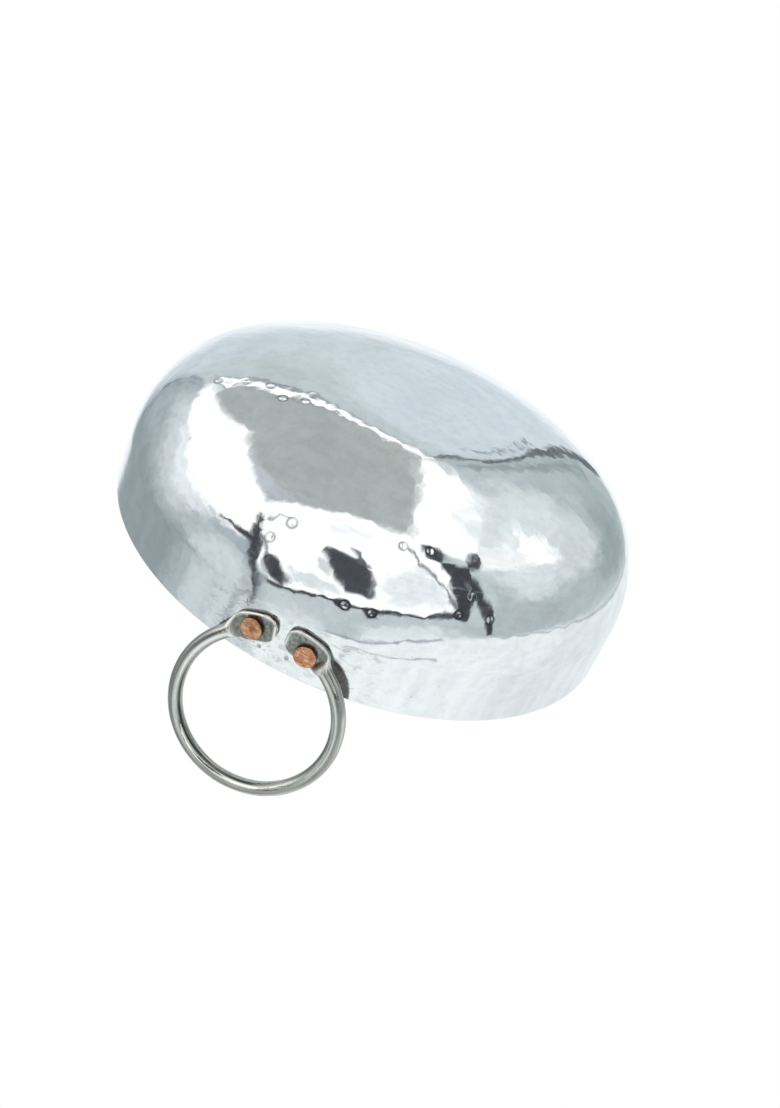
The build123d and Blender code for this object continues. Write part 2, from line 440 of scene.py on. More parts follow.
def handle(name, turned):
    """One ring handle, as made or turned to the other side of the bowl."""
    points, faces, lay = ring_handle()
    if turned:
        points = [Vector((-p.x, -p.y, p.z)) for p in points]
    piece = new_mesh(name, points, faces)
    uv = piece.data.uv_layers.new(name="lay")
    for polygon in piece.data.polygons:
        high = max(lay[v][1] for v in polygon.vertices)
        for loop in polygon.loop_indices:
            along, round_part = lay[piece.data.loops[loop].vertex_index][:2]
            if high > 0.9 and round_part < 0.1:
                round_part += 1.0
            uv.data[loop].uv = (along / (2 * math.pi), round_part)
    for column, label in enumerate(("tab_floor", "behind", "painted_reflection_line", "painted_highlight", "neck"), 2):
        attribute = piece.data.attributes.new(label, "FLOAT", "POINT")
        attribute.data.foreach_set("value", [float(row[column]) for row in lay])
    return piece


def rivet(name, y, turned, seed):
    """One copper rivet: a beaten head on the tab, its shank, and a low head inside the bowl."""
    chance = random.Random(seed)
    reach = band_radius(RIVET_Z)
    x = math.sqrt(reach**2 - y**2)
    origin = Vector((x, y, RIVET_Z))
    out = Vector((x, y, 0)).normalized()
    up = Vector((0, 0, 1))
    side = up.cross(out)
    seat = SEAT_GAP + TAB_THICKNESS
    top = seat + SEAT_GAP + HEAD_HEIGHT
    inner = -SHEET - SEAT_GAP
    profile = []
    for share in (0.12, 0.25, 0.38, 0.5, 0.62, 0.74, 0.84):
        profile.append((HEAD_RADIUS * share, top - HEAD_CROWN * share**2))
    for k in range(6):
        bend = math.pi / 2 * k / 5
        profile.append((HEAD_RADIUS - HEAD_ROUNDING * (1 - math.sin(bend)),
                        top - HEAD_CROWN - HEAD_ROUNDING * (1 - math.cos(bend))))
    profile.append((HEAD_RADIUS - 0.05, seat + 0.5))
    profile.append((HEAD_RADIUS - 0.30, seat - 0.7))
    profile.append((SHANK_RADIUS, seat - 0.7))
    profile.append((SHANK_RADIUS, inner + 0.25))
    profile.append((INNER_HEAD_RADIUS - 0.3, inner + 0.25))
    profile.append((INNER_HEAD_RADIUS - 0.02, inner))
    for k in range(1, 8):
        bend = math.pi / 2 * k / 8
        profile.append((INNER_HEAD_RADIUS * math.cos(bend), inner - INNER_HEAD_HEIGHT * math.sin(bend)))
    flats = [(chance.uniform(0, 2 * math.pi), chance.uniform(0.05, 0.30)) for _ in range(5)]
    dimples = [
        (chance.uniform(-3.4, 3.4), chance.uniform(-3.4, 3.4),
         chance.uniform(1.4, 2.6), chance.uniform(0.05, 0.16))
        for _ in range(16)
    ]
    points = [origin + out * (top - 0.12)]
    counts = [1]
    for radius, height in profile:
        for k in range(RIVET_SIDES):
            angle = 2 * math.pi * k / RIVET_SIDES
            c, d = math.cos(angle), math.sin(angle)
            r = radius
            if r > SHANK_RADIUS * 1.2:
                for flat_angle, cut in flats:
                    reach_to = HEAD_RADIUS - cut
                    lean = math.cos(angle - flat_angle)
                    if lean > 0.5:
                        r = min(r, r * 0.35 + 0.65 * min(r, reach_to / lean))
                r -= 0.06 * (0.5 + 0.5 * noise.noise(Vector((c * 2, d * 2, seed * 3.3))))
            h = height
            if height > seat + 0.8:
                for px, py, size, deep in dimples:
                    gap = math.hypot(r * c - px, r * d - py) / size
                    h -= deep * max(0.0, 1 - gap**2) ** 2
                h -= 0.05 * (0.5 + 0.5 * noise.noise(Vector((r * c, r * d, seed * 1.7))))
            points.append(origin + out * h + side * (r * c) + up * (r * d))
        counts.append(RIVET_SIDES)
    points.append(origin + out * (inner - INNER_HEAD_HEIGHT))
    counts.append(1)
    if turned:
        points = [Vector((-p.x, -p.y, p.z)) for p in points]
    piece = new_mesh(name, [p * MM for p in points], stitch(counts))
    edge = [0.0]
    for _, height in profile:
        edge += [float(smooth((top - 0.55 - height) / 0.5)) if height > seat - 1 else 0.3] * RIVET_SIDES
    edge.append(0.0)
    attribute = piece.data.attributes.new("edge", "FLOAT", "POINT")
    attribute.data.foreach_set("value", edge)
    return piece


# ---------------------------------------------------------------- materials

class Tree:
    """Short calls that add nodes to a node tree."""

    def __init__(self, tree):
        self.tree = tree

    def feed(self, socket, value):
        if isinstance(value, bpy.types.NodeSocket):
            self.tree.links.new(value, socket)
        else:
            socket.default_value = value

    def put(self, kind, inputs, output=0, **settings):
        node = self.tree.nodes.new(kind)
        for key, value in settings.items():
            setattr(node, key, value)
        for key, value in inputs.items():
            self.feed(node.inputs[key], value)
        return node.outputs[output]

    def maths(self, operation, *values):
        return self.put("ShaderNodeMath", dict(enumerate(values)), operation=operation)

    def vector(self, operation, *values):
        output = 1 if operation in ("DOT_PRODUCT", "DISTANCE") else 0
        return self.put("ShaderNodeVectorMath", dict(enumerate(values)), output, operation=operation)

    def scaled(self, vector, x, y, z):
        return self.vector("MULTIPLY", vector, (x, y, z))

    def noise(self, vector, scale, detail=2.0, roughness=0.5, distortion=0.0):
        return self.put(
            "ShaderNodeTexNoise",
            {"Vector": vector, "Scale": scale, "Detail": detail, "Roughness": roughness,
             "Distortion": distortion},
        )

    def ramp(self, value, low, high, first=0.0, last=1.0):
        return self.put(
            "ShaderNodeMapRange",
            {0: value, 1: low, 2: high, 3: first, 4: last},
            interpolation_type="SMOOTHSTEP",
        )

    def mix(self, factor, a, b):
        return self.put("ShaderNodeMix", {0: factor, 6: a, 7: b}, 2, data_type="RGBA")

    def bump(self, height):
        return self.put("ShaderNodeBump", {"Strength": 1.0, "Distance": 1.0, "Height": height})


def colour(red, green, blue):
    return (red, green, blue, 1.0)


def material(name):
    """A new node material, its tree and its Principled shader."""
    made = bpy.data.materials.new(name)
    made.use_nodes = True
    shader = made.node_tree.nodes["Principled BSDF"]
    return made, Tree(made.node_tree), shader


# Round dents left by the hammer's edge: degrees round the bowl from +X, distance from the centre
# of the sole along its face, diameter and depth in millimetres.
DENTS = (
    (8.3, 113.6, 4.6, 0.07), (10.5, 122.7, 4.2, 0.06), (-15.2, 102.5, 4.0, 0.06),
    (-32.5, 115.1, 4.4, 0.06), (-30.2, 123.0, 4.0, 0.06), (-8.4, 132.3, 4.6, 0.07),
    (-13.7, 131.3, 4.2, 0.06), (-37.4, 123.0, 4.2, 0.06), (-21.5, 101.0, 4.0, 0.06),
    (57.9, 95.5, 4.2, 0.04), (54.7, 84.5, 4.6, 0.04), (50.3, 75.3, 4.4, 0.04),
    (42.5, 73.4, 4.6, 0.04), (38.3, 65.3, 4.2, 0.04), (3.4, 165.5, 1.9, 0.06), (-2.3, 164.5, 1.9, 0.06),
)
# Dents narrower than this, in millimetres, are small pits filled with painted shade.
PIT = 3.0


def sink_dents(tree, place, height):
    """Sink the round dents in the height, and find the painted shade on their rims and in the small pits.
    """
    painted_dent_shade = None
    for degrees, s, across, depth in DENTS:
        r, z, _ = (float(x) for x in outline(s))
        angle = math.radians(degrees)
        spot = (r * math.cos(angle) * MM, r * math.sin(angle) * MM, z * MM)
        gap = tree.vector("DISTANCE", place, spot)
        height = tree.maths("ADD", height, tree.ramp(gap, 0.0, across / 2 * MM, -depth * MM, 0.0))
        # A ring of painted shade along each dent's rim; in a small pit it fills the whole dent.
        ring = tree.ramp(gap, across * 0.44 * MM, across * 0.64 * MM, 1.0, 0.0)
        if across > PIT:
            ring = tree.maths("MULTIPLY", tree.ramp(gap, across * 0.24 * MM, across * 0.44 * MM), ring)
        painted_dent_shade = ring if painted_dent_shade is None else tree.maths("MAXIMUM", painted_dent_shade, ring)
    return height, painted_dent_shade


def beaten_metal(name, polish, inside):
    """Bright sheet, beaten and then polished, with folds and dirt round the tabs."""
    made, tree, shader = material(name)
    place = tree.put("ShaderNodeNewGeometry", {})
    parts = tree.put("ShaderNodeSeparateXYZ", {0: place}, 0).node
    around = tree.maths("ARCTAN2", parts.outputs[1], parts.outputs[0])
    radius = tree.maths("SQRT", tree.maths(
        "ADD", tree.maths("MULTIPLY", parts.outputs[0], parts.outputs[0]),
        tree.maths("MULTIPLY", parts.outputs[1], parts.outputs[1])
    ))
    wiped = tree.put("ShaderNodeCombineXYZ", {0: tree.maths("MULTIPLY", around, 6.0),
                                              1: tree.maths("MULTIPLY", radius, 900.0),
                                              2: tree.maths("MULTIPLY", parts.outputs[2], 900.0)})
    streaks = tree.noise(wiped, 1.0, 3.0, 0.6)
    cloud = tree.noise(place, 28.0, 4.0, 0.6)
    spots = tree.noise(place, 420.0, 2.0, 0.6)
    tint = tree.mix(tree.ramp(cloud, 0.35, 0.7), colour(0.84, 0.865, 0.88), colour(0.90, 0.915, 0.92))
    tint = tree.mix(tree.ramp(streaks, 0.55, 0.85, 0.0, 0.5), tint, colour(0.78, 0.80, 0.81))
    worked = tree.noise(place, 190.0, 4.0, 0.62)
    tint = tree.mix(tree.ramp(worked, 0.44, 0.66, 0.0, 0.6), tint, colour(0.775, 0.795, 0.80))
    pits = tree.noise(place, 900.0, 1.0, 0.5)
    tint = tree.mix(tree.ramp(pits, 0.745, 0.80, 0.0, 0.7), tint, colour(0.40, 0.41, 0.40))
    shader.inputs["Metallic"].default_value = 1.0
    rough = tree.maths("ADD", tree.ramp(cloud, 0.3, 0.75, polish * 0.7, polish * 1.5),
                       tree.ramp(spots, 0.5, 0.8, 0.0, polish * 0.7))
    rough = tree.maths("ADD", rough, tree.ramp(streaks, 0.5, 0.9, 0.0, polish))
    tree.feed(shader.inputs["Roughness"], rough)
    ripples = tree.maths("MULTIPLY", tree.noise(place, 150.0, 2.0, 0.5), 0.000024)
    grain = tree.maths("MULTIPLY", tree.noise(place, 620.0, 2.0, 0.5), 0.0000034)
    height = tree.maths("ADD", ripples, grain)
    up_wall = tree.ramp(parts.outputs[2], 0.056, 0.074, 0.0000016, 0.0000042)
    brushed = tree.maths("MULTIPLY", streaks, 0.000005 if inside else up_wall)
    height = tree.maths("ADD", height, brushed)
    nearest = tree.put(
        "ShaderNodeTexVoronoi", {"Vector": place, "Scale": 215.0, "Smoothness": 0.35}, feature="SMOOTH_F1"
    )
    peened = tree.maths("MULTIPLY", tree.maths("MULTIPLY", nearest, nearest), 0.000040)
    height = tree.maths("ADD", height, peened)
    cells = tree.put("ShaderNodeTexVoronoi", {"Vector": place, "Scale": 48.0}, feature="F1")
    stray = tree.ramp(cells, 0.0, 0.12, -0.00004, 0.0)
    height = tree.maths("ADD", height, stray)
    beaten = tree.put("ShaderNodeAttribute", {}, 2, attribute_name="beaten")
    height = tree.maths("MULTIPLY", height, beaten)
    by_tabs = tree.maths("SUBTRACT", 1.0, beaten)
    folded = tree.put("ShaderNodeCombineXYZ", {0: tree.maths("MULTIPLY", around, 22.0),
                                               1: tree.maths("MULTIPLY", parts.outputs[2], 300.0)})
    creases = tree.noise(folded, 1.0, 4.0, 0.62, 0.8)
    folds = tree.maths("MULTIPLY", tree.maths("MULTIPLY", creases, by_tabs), 0.00006)
    height = tree.maths("ADD", height, folds)
    soiled = tree.maths("MULTIPLY", tree.ramp(creases, 0.51, 0.66, 0.0, 0.7), by_tabs)
    tint = tree.mix(soiled, tint, colour(0.52, 0.53, 0.52))
    if not inside:
        height, painted_dent_shade = sink_dents(tree, place, height)
        # Painted shade darkens the dents' rims and the small pits.
        painted_dent_shade = tree.maths("MULTIPLY", painted_dent_shade, tree.ramp(worked, 0.38, 0.60, 0.45, 0.85))
        tint = tree.mix(painted_dent_shade, tint, colour(0.22, 0.23, 0.24))
    tree.feed(shader.inputs["Base Color"], tint)
    tree.feed(shader.inputs["Normal"], tree.bump(height))
    return made


def drawn_steel():
    """The handles' rod: polished steel, streaked along, darker on its tabs, with painted shade and
    highlights.
    """
    made, tree, shader = material("drawn_steel")
    lay = tree.put("ShaderNodeUVMap", {}, uv_map="lay")
    place = tree.put("ShaderNodeNewGeometry", {})

    def painted(name):
        return tree.put("ShaderNodeAttribute", {}, 2, attribute_name=name)

    along = tree.noise(tree.scaled(lay, 9.0, 16.0, 1.0), 1.0, 4.0, 0.6)
    fine = tree.noise(tree.scaled(lay, 34.0, 60.0, 1.0), 1.0, 3.0, 0.6)
    patches = tree.noise(place, 140.0, 4.0, 0.65)
    mottle = tree.noise(place, 700.0, 3.0, 0.6)
    tint = tree.mix(tree.ramp(along, 0.36, 0.66), colour(0.385, 0.38, 0.345), colour(0.65, 0.64, 0.59))
    tint = tree.mix(tree.ramp(fine, 0.54, 0.74, 0.0, 0.55), tint, colour(0.33, 0.315, 0.28))
    tint = tree.mix(tree.ramp(patches, 0.56, 0.76, 0.0, 0.5), tint, colour(0.28, 0.27, 0.235))
    # Painted highlight along the rod's crest, its neck and the tabs' rims.
    tint = tree.mix(painted("painted_highlight"), tint, colour(0.97, 0.955, 0.90))
    # The tabs' floors are darker and mottled.
    scale = tree.mix(tree.ramp(mottle, 0.35, 0.7), colour(0.17, 0.185, 0.165), colour(0.34, 0.36, 0.33))
    tint = tree.mix(painted("tab_floor"), tint, scale)
    # Painted shade on the rod's back by the wall and round the rivet heads.
    painted_back_shade = tree.mix(tree.ramp(mottle, 0.35, 0.7), colour(0.10, 0.096, 0.085), colour(0.155, 0.15, 0.135))
    tint = tree.mix(painted("behind"), tint, painted_back_shade)
    # Painted dark reflection lines along the inside of the ring: the shaded bowl seen in the rod.
    line = tree.maths("MULTIPLY", painted("painted_reflection_line"), tree.ramp(along, 0.30, 0.50, 0.85, 1.0))
    tint = tree.mix(line, tint, colour(0.045, 0.047, 0.042))
    tree.feed(shader.inputs["Base Color"], tint)
    shader.inputs["Metallic"].default_value = 1.0
    rough = tree.ramp(patches, 0.3, 0.75, 0.06, 0.15)
    rough = tree.maths("ADD", rough, tree.maths("MULTIPLY", painted("tab_floor"), 0.20))
    rough = tree.maths("ADD", rough, tree.maths("MULTIPLY", painted("neck"), 0.22))
    tree.feed(shader.inputs["Roughness"], rough)
    height = tree.maths("ADD", tree.maths("MULTIPLY", fine, 0.00002),
                        tree.maths("MULTIPLY", patches, 0.00008))
    height = tree.maths("ADD", height, tree.maths("MULTIPLY", mottle, 0.000006))
    tree.feed(shader.inputs["Normal"], tree.bump(height))
    return made


def beaten_copper():
    """The rivets: orange copper, beaten and scratched, with a dark seam where a head meets its tab."""
    made, tree, shader = material("beaten_copper")
    place = tree.put("ShaderNodeNewGeometry", {})
    cloud = tree.noise(place, 300.0, 3.0, 0.6)
    blush = tree.noise(place, 520.0, 2.0, 0.5)
    scratches = tree.noise(tree.scaled(place, 500.0, 260.0, 1900.0), 1.0, 3.0, 0.65, 0.4)
    pits = tree.noise(place, 1300.0, 2.0, 0.5)
    tint = tree.mix(tree.ramp(cloud, 0.38, 0.66), colour(0.44, 0.175, 0.09), colour(0.76, 0.42, 0.225))
    tint = tree.mix(tree.ramp(blush, 0.50, 0.70, 0.0, 0.7), tint, colour(0.50, 0.235, 0.18))
    tint = tree.mix(tree.ramp(scratches, 0.55, 0.70, 0.0, 0.9), tint, colour(1.0, 0.72, 0.52))
    tint = tree.mix(tree.ramp(pits, 0.55, 0.75, 0.0, 0.6), tint, colour(0.26, 0.10, 0.06))
    edge = tree.put("ShaderNodeAttribute", {}, 2, attribute_name="edge")
    tint = tree.mix(edge, tint, colour(0.26, 0.11, 0.07))
    tree.feed(shader.inputs["Base Color"], tint)
    shader.inputs["Metallic"].default_value = 1.0
    tree.feed(shader.inputs["Roughness"], tree.ramp(cloud, 0.3, 0.75, 0.22, 0.42))
    height = tree.maths("ADD", tree.maths("MULTIPLY", scratches, 0.00005),
                        tree.maths("MULTIPLY", pits, 0.000016))
    height = tree.maths("ADD", height, tree.maths("MULTIPLY", cloud, 0.00010))
    tree.feed(shader.inputs["Normal"], tree.bump(height))
    return made


# ---------------------------------------------------------------- pieces

bowl_outside = beaten_metal("polished_outside", 0.05, False)
bowl_inside = beaten_metal("polished_inside", 0.11, True)
steel = drawn_steel()
copper = beaten_copper()

bowl = beaten_bowl()
bowl.data.materials.append(bowl_outside)
bowl.data.materials.append(bowl_inside)
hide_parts("bowl")
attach(bowl, "root")

for node, turned in (("right_handle", False), ("left_handle", True)):
    ring = handle(node + "_ring", turned)
    ring.data.materials.append(steel)
    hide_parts(node)
    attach(ring, "root")
    for number, y in ((1, -RIVET_PITCH / 2), (2, RIVET_PITCH / 2)):
        head = rivet(f"{node}_rivet_{number}_head", y, turned, number + (10 if turned else 0))
        head.data.materials.append(copper)
        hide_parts(f"{node}_rivet_{number}")
        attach(head, "root")


# ---------------------------------------------------------------- studio

def studio_world():
    """White to the camera, an even light on rough things, and the room that polished metal reflects.

    The room is painted by direction as the camera sees it, in degrees to its right and up. 0, 0 is
    the direction from the kadai to the camera.
    """
    world = bpy.data.worlds.new("studio")
    bpy.context.scene.world = world
    world.use_nodes = True
    world.cycles.sampling_method = "NONE"
    nodes = world.node_tree.nodes
    nodes.clear()
    tree = Tree(world.node_tree)
    ray = tree.put("ShaderNodeTexCoord", {})
    x = tree.vector("DOT_PRODUCT", ray, tuple(CAMERA_RIGHT))
    y = tree.vector("DOT_PRODUCT", ray, tuple(CAMERA_UP))
    z = tree.vector("DOT_PRODUCT", ray, tuple(CAMERA_BACK))
    az = tree.maths("DEGREES", tree.maths("ARCTAN2", x, z))
    el = tree.maths("DEGREES", tree.maths("ARCSINE", y))
    spot = tree.put("ShaderNodeCombineXYZ", {0: az, 1: el})

    drift = tree.put(
        "ShaderNodeTexNoise", {"Vector": ray, "Scale": 13.0, "Detail": 5.0, "Roughness": 0.66}, 1
    )
    drift = tree.scaled(tree.vector("SUBTRACT", drift, (0.5, 0.5, 0.5)), 17.0, 17.0, 0.0)
    streaks = tree.noise(ray, 11.0, 4.0, 0.6)

    def patch(corners, soft, wispy=False):
        """1 inside a convex outline of directions. Its soft edges may be drawn out to wisps."""
        at = tree.vector("ADD", spot, drift) if wispy else spot
        pairs = list(zip(corners, corners[1:] + corners[:1]))
        winding = sum(a[0] * b[1] - b[0] * a[1] for a, b in pairs)
        mask = None
        for a, b in pairs:
            length = math.copysign(math.hypot(b[0] - a[0], b[1] - a[1]), winding)
            out = ((b[1] - a[1]) / length, (a[0] - b[0]) / length, 0.0)
            edge = out[0] * a[0] + out[1] * a[1]
            side = tree.ramp(tree.vector("DOT_PRODUCT", at, out), edge - soft, edge + soft, 1.0, 0.0)
            mask = side if mask is None else tree.maths("MULTIPLY", mask, side)
        return mask

    def stroke(az0, el0, az1, el1, half_width, soft):
        """1 on a straight strip between two directions."""
        length = math.hypot(az1 - az0, el1 - el0)
        x_side, y_side = (az1 - az0) / length * half_width, (el1 - el0) / length * half_width
        return patch([
            (az0 + y_side, el0 - x_side), (az1 + y_side, el1 - x_side),
            (az1 - y_side, el1 + x_side), (az0 - y_side, el0 + x_side),
        ], soft)

    seen = colour(0.60, 0.67, 0.68)

    def paint(mask, shade, share=1.0):
        """Lay one area over the last ones.

        A trace of it goes into `spot`, so that the next area waits for it. Without that, Cycles
        works out all the masks first, runs out of room for them and makes the picture black.
        """
        nonlocal seen, spot
        if share != 1.0:
            mask = tree.maths("MULTIPLY", mask, share)
        shade = (shade, shade, shade) if isinstance(shade, float) else shade
        seen = tree.mix(mask, seen, colour(*shade))
        spot = tree.vector("MULTIPLY_ADD", seen, (TRACE, TRACE, TRACE), spot)

    def area(corners, soft, shade, share=1.0, wispy=False):
        """Paint the inside of a convex outline of directions. A dented outline would lose a part."""
        paint(patch(corners, soft, wispy), shade, share)

    def line(places, half_width, soft, shade, share=1.0):
        """Paint a strip through several directions."""
        for (az0, el0), (az1, el1) in zip(places, places[1:]):
            paint(stroke(az0, el0, az1, el1, half_width, soft), shade, share)

    # Backdrop behind, paler towards the table.
    area([(134, 56), (200, 56), (200, -20), (134, -20)], 7.0, (0.67, 0.745, 0.785))
    area([(-200, 56), (-140, 56), (-140, -20), (-200, -20)], 7.0, (0.67, 0.745, 0.785))
    area([(134, 53), (160, 52), (160, 16), (134, 16)], 7.0, (0.72, 0.80, 0.85), 0.9)
    area([(200, 35), (165, 35), (152, 12), (152, -20), (200, -20)], 8.0, (0.96, 1.01, 1.05))
    area([(-200, 35), (-158, 35), (-150, 10), (-150, -20), (-200, -20)], 8.0, (0.96, 1.01, 1.05))
    # Grey room at the left.
    area([(-139, 64), (-90, 60), (-40, 20), (-44, -20), (-60, -34), (-149, 6)], 3.0, (0.44, 0.50, 0.535))
    area([(-150, 22), (-90, 22), (-60, -4), (-60, -34), (-151, 6)], 7.0, (0.33, 0.385, 0.405))
    area([(-130, 56), (-104, 54), (-98, 38), (-126, 36)], 7.0, (0.60, 0.665, 0.69), 0.8, wispy=True)
    area([(-118, 22), (-92, 26), (-80, 4), (-100, 0)], 7.0, (0.52, 0.58, 0.60), 0.7, wispy=True)
    area([(-72, 4), (-52, 2), (-50, -18), (-64, -20)], 6.0, (0.47, 0.52, 0.545), 0.7, wispy=True)
    area([(-124, 60), (-84, 64), (-66, 8), (-92, 4), (-112, 30)],
         9.0, (0.78, 0.83, 0.86), 0.7, wispy=True)
    area([(-104, 60), (-80, 64), (-64, 12), (-86, 14), (-98, 32)],
         5.0, (1.02, 1.06, 1.09), 0.75, wispy=True)
    area([(-86, 0), (-58, 4), (-52, -14), (-62, -28), (-82, -20)],
         7.0, (0.76, 0.82, 0.85), 0.85, wispy=True)
    area([(-98, -10), (-80, -14), (-58, -30), (-72, -44), (-104, -26)],
         9.0, (0.74, 0.80, 0.83), 0.8, wispy=True)
    # Grey room at the right.
    area([(60, 40), (98, 50), (124, 60), (134, 50), (155, 16), (150, 3), (60, -31)],
         1.5, (0.51, 0.58, 0.595))
    area([(118, 24), (138, 28), (146, 9), (130, 1), (112, 5)], 7.0, (0.35, 0.415, 0.435), 0.9, wispy=True)
    area([(62, 40), (100, 44), (124, 32), (118, 16), (92, 11), (62, 14)],
         6.0, (0.74, 0.79, 0.80), 0.85, wispy=True)
    area([(98, 55), (122, 56), (128, 46), (104, 42)], 5.0, (0.60, 0.66, 0.71), 0.7, wispy=True)
    area([(66, 28), (88, 30), (94, 14), (86, 2), (68, 0)], 8.0, (0.84, 0.90, 0.92), 0.8, wispy=True)
    area([(64, 0), (98, 0), (92, -18), (64, -26)], 6.0, (0.50, 0.55, 0.575), 0.7, wispy=True)
    # Between the window and the table, and the table itself.
    area([(-46, -16), (46, -16), (60, -32), (-8, -50), (-56, -40)], 3.0, (0.60, 0.67, 0.69))
    area([(0, -38), (34, -27), (50, -33), (20, -50), (-12, -52)], 3.5, (0.84, 0.90, 0.95), wispy=True)
    area([(36, -22), (58, -24), (60, -32), (38, -36)], 3.0, (0.46, 0.52, 0.56), 0.5, wispy=True)
    area([(-200, -54), (-66, -39), (-8, -50), (-8, -90), (-200, -90)], 2.5, (0.98, 1.03, 1.02))
    area([(-12, -50), (60, -32), (200, -10), (200, -90), (-12, -90)], 2.5, (0.96, 1.01, 1.02))
    area([(55, -34), (60, -32), (150, 3), (200, 14), (200, -60), (60, -60)], 2.0, (0.94, 0.99, 1.0))
    area([(100, -16), (150, 2), (200, 12), (200, -50), (100, -60)], 9.0, (0.84, 0.885, 0.91), 0.8)
    # Ceiling, and the large soft lights at the left and at the right.
    grey = (0.47, 0.505, 0.492)
    area([(-92, 44), (50, 44), (122, 60.5), (122, 90), (-92, 90)], 1.2, grey)
    area([(121, 60.5), (131, 64.2), (131, 90), (121, 90)], 0.6, grey)
    area([(130, 63.8), (156, 71.2), (156, 90), (130, 90)], 0.6, grey)
    area([(155, 71), (182, 73.2), (182, 90), (155, 90)], 0.6, grey)
    area([(-182, 73.2), (-166, 71.5), (-166, 90), (-182, 90)], 0.6, grey)
    area([(-167, 71.6), (-146, 65), (-90, 79), (-90, 90), (-167, 90)], 0.8, grey)
    area([(-50, 70), (-20, 64), (-8, 52), (-34, 44)], 7.0, (0.60, 0.65, 0.69), 0.85, wispy=True)
    area([(-146, 64), (-120, 72.5), (-92, 79), (-66, 80),
          (-80, 41), (-96, 46.5), (-119, 54.5), (-138, 61)], 3.6, 1.3)
    area([(-92, 78.5), (-66, 80), (-45, 74.5), (-31, 50), (-30, 28), (-86, 34)], 3.6, 1.35)
    area([(-84, 50), (-34, 50), (-31, 38), (-33, 22), (-45, 7), (-60, 12), (-76, 22), (-83, 34)],
         4.0, 1.3, wispy=True)
    area([(47, 47), (60, 56), (90, 62.5), (107, 63.3), (124, 61), (107, 54.5), (92, 47.5), (60, 35)],
         2.2, 1.3)
    area([(72, 50), (98, 53), (119, 48), (121, 36), (100, 33), (76, 40)],
         4.0, (0.86, 0.92, 0.93), 0.75, wispy=True)
    area([(58, 42), (76, 41), (92, 37), (94, 28), (76, 26), (58, 28)], 4.0, 1.16, 0.8, wispy=True)
    area([(88, 36), (93, 39), (99, 37), (101, 32), (97, 27), (90, 27.5), (87, 31)], 2.6, 1.3, wispy=True)
    # Bright window in front, with the dark shape of the camera and its stand in it.
    area([(-31, 38), (-20, 46), (0, 52), (27, 57), (50, 48), (42, -17), (7, -26), (-42, -18), (-44, 0)],
         1.6, 1.3)
    area([(14, 6), (38, 26), (40, -12), (12, -18)], 5.0, (0.82, 0.88, 0.92), 0.8, wispy=True)
    area([(-2, 41), (26, 47), (28, 40), (0, 36)], 3.0, (0.80, 0.85, 0.88), 0.5, wispy=True)
    area([(-28, -4), (-8, -8), (-10, -16), (-32, -13)], 3.0, (0.66, 0.72, 0.76), 0.7, wispy=True)
    area([(-6, 19), (-1, 22), (8, 18), (12, 8), (7, -14), (-6, -13), (-8, 0)], 1.6, (0.075, 0.08, 0.095))
    area([(8, 26), (10, 26), (12.5, 12), (7, 12)], 1.0, (0.14, 0.15, 0.17))
    area([(-13, 6), (-9, 9), (-7, 2), (-10, -4), (-13, -1)], 1.2, (0.62, 0.68, 0.72), 0.8)
    # Window frame.
    black = (0.055, 0.06, 0.07)
    line([(-33, 29), (-34.6, 24)], 0.7, 0.8, black)
    line([(-34.2, 25), (-37.6, 15)], 1.5, 0.9, black)
    line([(-37, 17), (-45, -5)], 2.5, 0.9, black)
    line([(-44.5, -3), (-49, -13)], 1.8, 0.9, black)
    line([(-48.5, -12), (-54, -24)], 1.1, 0.9, black)
    area([(-37, 1), (-32, -3), (-31, -13), (-37, -19), (-42, -12)], 1.4, black)
    line([(-36, 12), (-37, -2)], 0.9, 0.8, (0.16, 0.18, 0.20))
    line([(-58, 15), (-43, 8)], 0.9, 0.8, black)
    line([(-50, 11.5), (-42, 6.5)], 1.6, 0.8, black)
    line([(-46, -14), (-52, -22), (-58, -28), (-68, -34)], 1.1, 0.9, (0.10, 0.11, 0.13), 0.9)
    line([(-60, -26), (-66, -29), (-76, -30)], 0.6, 0.7, (0.20, 0.22, 0.24), 0.8)
    line([(-31, 25), (-22, 34), (-14, 35)], 0.8, 0.8, (0.26, 0.28, 0.31))
    line([(-45, -17), (-30, -22), (-20, -20), (-8, -22), (4, -25.5)], 1.6, 0.8, black)
    line([(4, -25.5), (20, -24), (30, -22), (42, -16)], 1.5, 0.8, black)
    area([(-13, -20), (-7, -20), (-6, -27), (-13, -26)], 1.2, black)
    area([(0, -23), (5, -24), (6, -30), (1, -31)], 1.2, black)
    line([(40, 43), (37.5, 27), (40, 7), (41, -18)], 0.8, 0.8, (0.10, 0.11, 0.13))
    area([(43, 33), (50, 45), (56, 42), (51, 33), (46, 30)], 1.2, black)
    line([(50, 31), (46, 8), (44, -20)], 3.3, 0.9, black)
    line([(51, 24), (58, 28), (68, 38)], 2.0, 0.8, black)
    line([(53, 26), (52, 6), (56, -18), (61, -30)], 2.1, 0.8, black)
